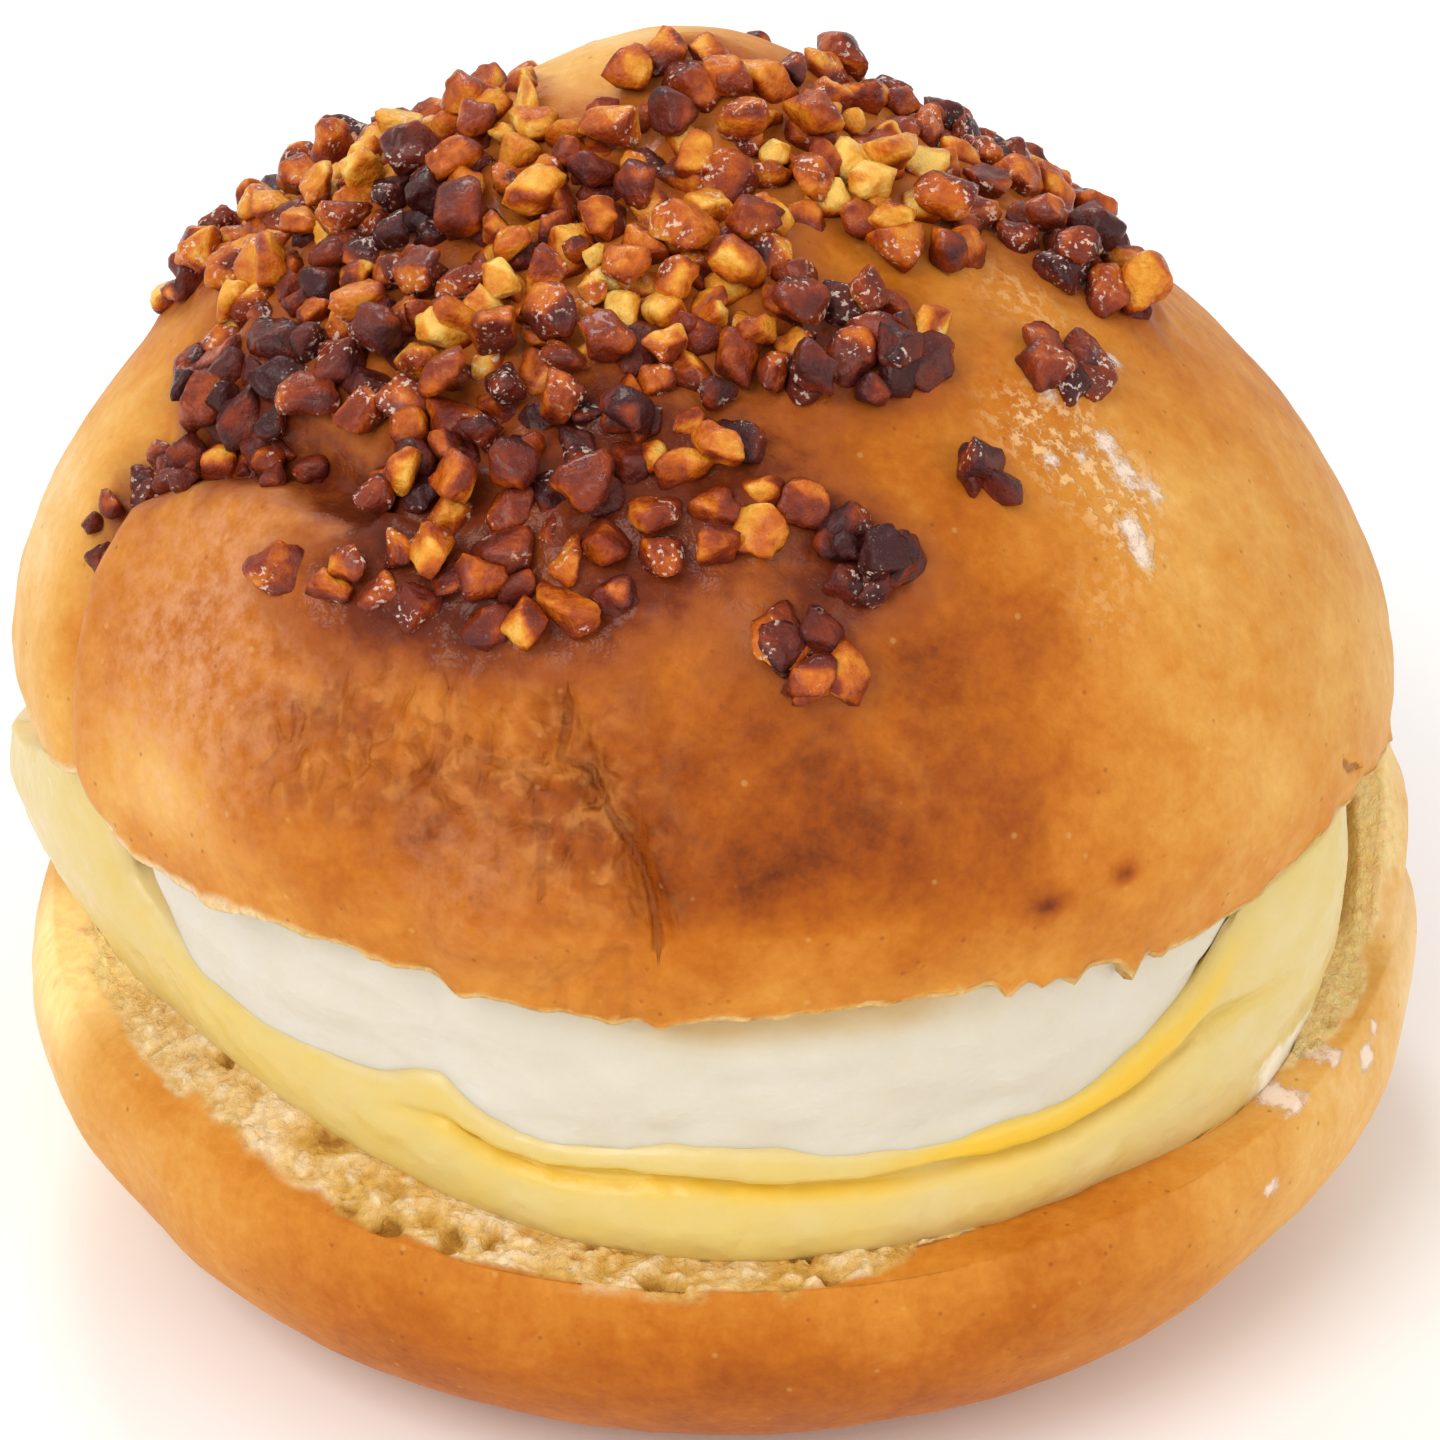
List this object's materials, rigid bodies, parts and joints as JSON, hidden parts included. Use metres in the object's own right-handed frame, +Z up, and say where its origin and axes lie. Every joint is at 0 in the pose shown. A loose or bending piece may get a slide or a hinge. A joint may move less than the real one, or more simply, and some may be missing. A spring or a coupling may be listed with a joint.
{
  "type": "bee sting bun",
  "caption": "Round split sweet bun with custard and whipped cream between its halves and caramelised chopped nuts on its domed lid.",
  "frame": {"origin": "centre of the bun's box, on the surface that it rests on", "axes": "+Z up, +X to the right of the picture's camera, -Y towards it; the open side of the bun faces -Y"},
  "size_m": [0.1078, 0.1028, 0.0896],
  "materials": {
    "bun_base": "matt browned crust, pale torn crumb on the cut",
    "custard": "smooth satin custard",
    "cream": "smooth soft whipped cream",
    "bun_top": "satin browned crust with glossy caramelised nuts"
  },
  "bodies": {
    "root": {"bun_base": "bun_base", "custard": "custard", "cream": "cream", "bun_top": "bun_top"}
  },
  "joints": []
}
